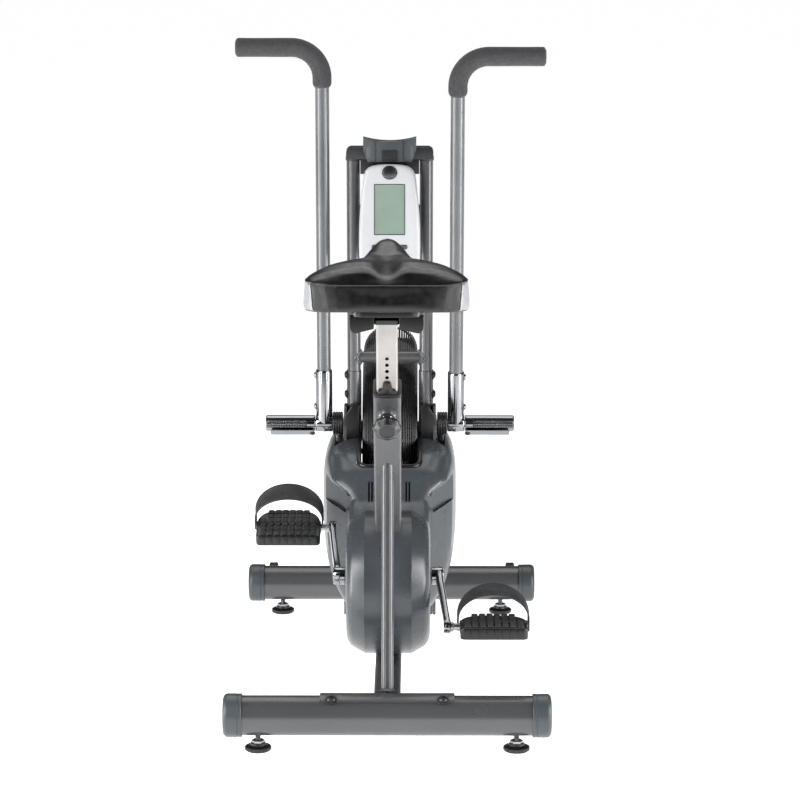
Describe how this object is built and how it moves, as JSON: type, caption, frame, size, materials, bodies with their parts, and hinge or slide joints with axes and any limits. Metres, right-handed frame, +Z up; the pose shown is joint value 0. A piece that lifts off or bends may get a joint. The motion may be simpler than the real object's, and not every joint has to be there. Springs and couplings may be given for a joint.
{
  "type": "air bike",
  "caption": "Fan-resistance exercise bike: tube frame on two cross feet, caged fan, swinging arms, pedals, console and adjustable saddle.",
  "frame": {"origin": "on the floor, under the middle of the bounding box", "axes": "+Z up; +Y forward, the way the rider faces; +X to the rider's right"},
  "size_m": [0.626, 1.197, 1.2777],
  "materials": {
    "rear_stabiliser": "satin dark grey powder coat",
    "front_stabiliser": "satin dark grey powder coat",
    "rear_cap_left": "matt slate moulding",
    "rear_cap_right": "matt slate moulding",
    "front_cap_left": "matt slate moulding",
    "front_cap_right": "matt slate moulding",
    "main_beam": "satin dark grey powder coat",
    "rear_bracket": "satin dark grey powder coat",
    "rear_stay": "satin dark grey powder coat",
    "seat_tube": "satin dark grey powder coat",
    "seat_bush": "black moulding",
    "fork_plate_left": "satin dark grey powder coat",
    "fork_plate_right": "satin dark grey powder coat",
    "mast_left": "satin dark grey powder coat",
    "mast_right": "satin dark grey powder coat",
    "mast_brace": "satin dark grey powder coat",
    "mast_head": "black moulding",
    "console_bracket": "black moulding",
    "console_housing": "silver-white moulding",
    "console_screen": "grey-green display window",
    "shroud_left": "satin slate-grey moulding",
    "shroud_right": "satin slate-grey moulding",
    "fan_cage": "gloss black wire",
    "drive_belt": "black rubber",
    "foot_peg_left": "bright chrome",
    "foot_peg_right": "bright chrome",
    "seat_post": "bright chrome",
    "saddle_pan": "black moulding",
    "saddle": "black vinyl with silver side panels",
    "seat_pin": "black moulding",
    "crank_axle": "bare steel",
    "crank_pulley": "bare steel",
    "crank_left": "bright chrome",
    "crank_right": "bright chrome",
    "fan_axle": "bare steel",
    "fan_wheel": "black moulding",
    "fan_pulley": "bare steel",
    "pedal_left": "black moulding",
    "pedal_strap_left": "black rubber",
    "pivot_hub_left": "black moulding",
    "arm_socket_left": "bright chrome",
    "arm_tube_left": "satin grey powder coat",
    "arm_grip_left": "dark grey foam",
    "connecting_rod_left": "bare steel",
    "transport_wheel_left": "black moulding",
    "rear_foot_left": "black rubber",
    "front_foot_left": "black rubber",
    "pedal_right": "black moulding",
    "pedal_strap_right": "black rubber",
    "pivot_hub_right": "black moulding",
    "arm_socket_right": "bright chrome",
    "arm_tube_right": "satin grey powder coat",
    "arm_grip_right": "dark grey foam",
    "connecting_rod_right": "bare steel",
    "transport_wheel_right": "black moulding",
    "rear_foot_right": "black rubber",
    "front_foot_right": "black rubber",
    "button_left": "black moulding",
    "button_middle": "black moulding",
    "button_right": "black moulding"
  },
  "bodies": {
    "frame": {"rear_stabiliser": "rear_stabiliser", "front_stabiliser": "front_stabiliser", "rear_cap_left": "rear_cap_left", "rear_cap_right": "rear_cap_right", "front_cap_left": "front_cap_left", "front_cap_right": "front_cap_right", "main_beam": "main_beam", "rear_bracket": "rear_bracket", "rear_stay": "rear_stay", "seat_tube": "seat_tube", "seat_bush": "seat_bush", "fork_plate_left": "fork_plate_left", "fork_plate_right": "fork_plate_right", "mast_left": "mast_left", "mast_right": "mast_right", "mast_brace": "mast_brace", "mast_head": "mast_head", "console_bracket": "console_bracket", "console_housing": "console_housing", "console_screen": "console_screen", "shroud_left": "shroud_left", "shroud_right": "shroud_right", "fan_cage": "fan_cage", "drive_belt": "drive_belt", "foot_peg_left": "foot_peg_left", "foot_peg_right": "foot_peg_right"},
    "seat": {"seat_post": "seat_post", "saddle_pan": "saddle_pan", "saddle": "saddle"},
    "seat_pin": {"seat_pin": "seat_pin"},
    "crank": {"crank_axle": "crank_axle", "crank_pulley": "crank_pulley", "crank_left": "crank_left", "crank_right": "crank_right"},
    "fan": {"fan_axle": "fan_axle", "fan_wheel": "fan_wheel", "fan_pulley": "fan_pulley"},
    "pedal_left": {"pedal_left": "pedal_left", "pedal_strap_left": "pedal_strap_left"},
    "arm_left": {"pivot_hub_left": "pivot_hub_left", "arm_socket_left": "arm_socket_left", "arm_tube_left": "arm_tube_left", "arm_grip_left": "arm_grip_left"},
    "rod_left": {"connecting_rod_left": "connecting_rod_left"},
    "transport_wheel_left": {"transport_wheel_left": "transport_wheel_left"},
    "rear_foot_left": {"rear_foot_left": "rear_foot_left"},
    "front_foot_left": {"front_foot_left": "front_foot_left"},
    "pedal_right": {"pedal_right": "pedal_right", "pedal_strap_right": "pedal_strap_right"},
    "arm_right": {"pivot_hub_right": "pivot_hub_right", "arm_socket_right": "arm_socket_right", "arm_tube_right": "arm_tube_right", "arm_grip_right": "arm_grip_right"},
    "rod_right": {"connecting_rod_right": "connecting_rod_right"},
    "transport_wheel_right": {"transport_wheel_right": "transport_wheel_right"},
    "rear_foot_right": {"rear_foot_right": "rear_foot_right"},
    "front_foot_right": {"front_foot_right": "front_foot_right"},
    "button_left": {"button_left": "button_left"},
    "button_middle": {"button_middle": "button_middle"},
    "button_right": {"button_right": "button_right"}
  },
  "joints": [
    {"name": "crank_spin", "type": "hinge", "parent": "frame", "child": "crank", "pos_m": [0, -0.2305, 0.27], "axis": [1, 0, 0], "continuous": true},
    {"name": "fan_spin", "type": "hinge", "parent": "frame", "child": "fan", "pos_m": [0, 0.3315, 0.4], "axis": [1, 0, 0], "continuous": true},
    {"name": "pedal_left_spin", "type": "hinge", "parent": "crank", "child": "pedal_left", "pos_m": [-0.198, -0.07075, 0.32814], "axis": [1, 0, 0], "continuous": true},
    {"name": "pedal_right_spin", "type": "hinge", "parent": "crank", "child": "pedal_right", "pos_m": [0.198, -0.39025, 0.21186], "axis": [1, 0, 0], "continuous": true},
    {"name": "arm_left_swing", "type": "hinge", "parent": "frame", "child": "arm_left", "pos_m": [-0.134, 0.1495, 0.495], "axis": [1, 0, 0], "range_deg": [-7, 14.5]},
    {"name": "arm_right_swing", "type": "hinge", "parent": "frame", "child": "arm_right", "pos_m": [0.134, 0.1495, 0.495], "axis": [1, 0, 0], "range_deg": [-14.5, 7]},
    {"name": "rod_left_swing", "type": "hinge", "parent": "arm_left", "child": "rod_left", "pos_m": [-0.098, 0.15578, 0.37516], "axis": [1, 0, 0], "range_deg": [-14.5, 7]},
    {"name": "rod_right_swing", "type": "hinge", "parent": "arm_right", "child": "rod_right", "pos_m": [0.098, 0.17137, 0.37701], "axis": [1, 0, 0], "range_deg": [-7, 14.5]},
    {"name": "seat_slide", "type": "slide", "parent": "frame", "child": "seat", "axis": [0, -0.4384, 0.8988], "range_m": [-0.112, 0.042]},
    {"name": "seat_pin_pull", "type": "slide", "parent": "frame", "child": "seat_pin", "axis": [0, -0.8988, -0.4384], "range_m": [0, 0.012], "stiffness_N_per_m": 1500, "springref_m": -0.004},
    {"name": "button_left_press", "type": "slide", "parent": "frame", "child": "button_left", "axis": [0, 0.9945, -0.1045], "range_m": [0, 0.0015], "stiffness_N_per_m": 700, "springref_m": -0.001},
    {"name": "button_middle_press", "type": "slide", "parent": "frame", "child": "button_middle", "axis": [0, 0.9945, -0.1045], "range_m": [0, 0.0015], "stiffness_N_per_m": 700, "springref_m": -0.001},
    {"name": "button_right_press", "type": "slide", "parent": "frame", "child": "button_right", "axis": [0, 0.9945, -0.1045], "range_m": [0, 0.0015], "stiffness_N_per_m": 700, "springref_m": -0.001},
    {"name": "transport_wheel_left_spin", "type": "hinge", "parent": "frame", "child": "transport_wheel_left", "pos_m": [-0.2615, 0.5785, 0.078], "axis": [1, 0, 0], "continuous": true},
    {"name": "rear_foot_left_turn", "type": "hinge", "parent": "frame", "child": "rear_foot_left", "pos_m": [-0.239, -0.4805, 0.02], "axis": [0, 0, 1], "range_deg": [-180, 180]},
    {"name": "front_foot_left_turn", "type": "hinge", "parent": "frame", "child": "front_foot_left", "pos_m": [-0.239, 0.5195, 0.02], "axis": [0, 0, 1], "range_deg": [-180, 180]},
    {"name": "transport_wheel_right_spin", "type": "hinge", "parent": "frame", "child": "transport_wheel_right", "pos_m": [0.2615, 0.5785, 0.078], "axis": [1, 0, 0], "continuous": true},
    {"name": "rear_foot_right_turn", "type": "hinge", "parent": "frame", "child": "rear_foot_right", "pos_m": [0.239, -0.4805, 0.02], "axis": [0, 0, 1], "range_deg": [-180, 180]},
    {"name": "front_foot_right_turn", "type": "hinge", "parent": "frame", "child": "front_foot_right", "pos_m": [0.239, 0.5195, 0.02], "axis": [0, 0, 1], "range_deg": [-180, 180]}
  ],
  "couplings": [
    {"joint": "fan_spin", "follows": "crank_spin", "ratio": 4},
    {"joint": "arm_right_swing", "follows": "arm_left_swing", "ratio": -1},
    {"joint": "rod_left_swing", "follows": "arm_left_swing", "ratio": -1},
    {"joint": "rod_right_swing", "follows": "arm_left_swing", "ratio": 1}
  ]
}
